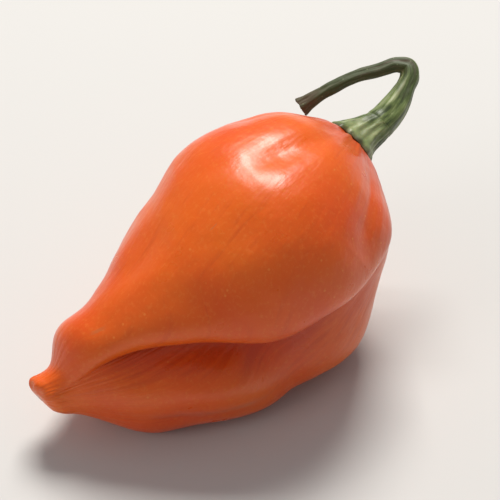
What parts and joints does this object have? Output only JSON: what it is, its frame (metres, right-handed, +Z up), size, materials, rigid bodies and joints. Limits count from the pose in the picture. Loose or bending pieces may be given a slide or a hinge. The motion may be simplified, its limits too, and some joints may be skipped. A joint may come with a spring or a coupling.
{
  "type": "habanero chilli pepper",
  "caption": "Ripe orange-red habanero pod with three furrowed lobes, green ribbed calyx and hooked stalk, lying on its side.",
  "frame": {"origin": "bottom centre of the bounding box, on the surface that the pepper lies on", "axes": "+Z up, +X towards the stalk along the pod, -Y the side with the deep furrow"},
  "size_m": [0.0644, 0.0348, 0.0349],
  "materials": {
    "skin": "waxy, glossy",
    "calyx_green": "satin",
    "stalk_green": "dull"
  },
  "bodies": {
    "root": {"pod": "skin", "calyx": "calyx_green", "stalk": "stalk_green"}
  },
  "joints": []
}
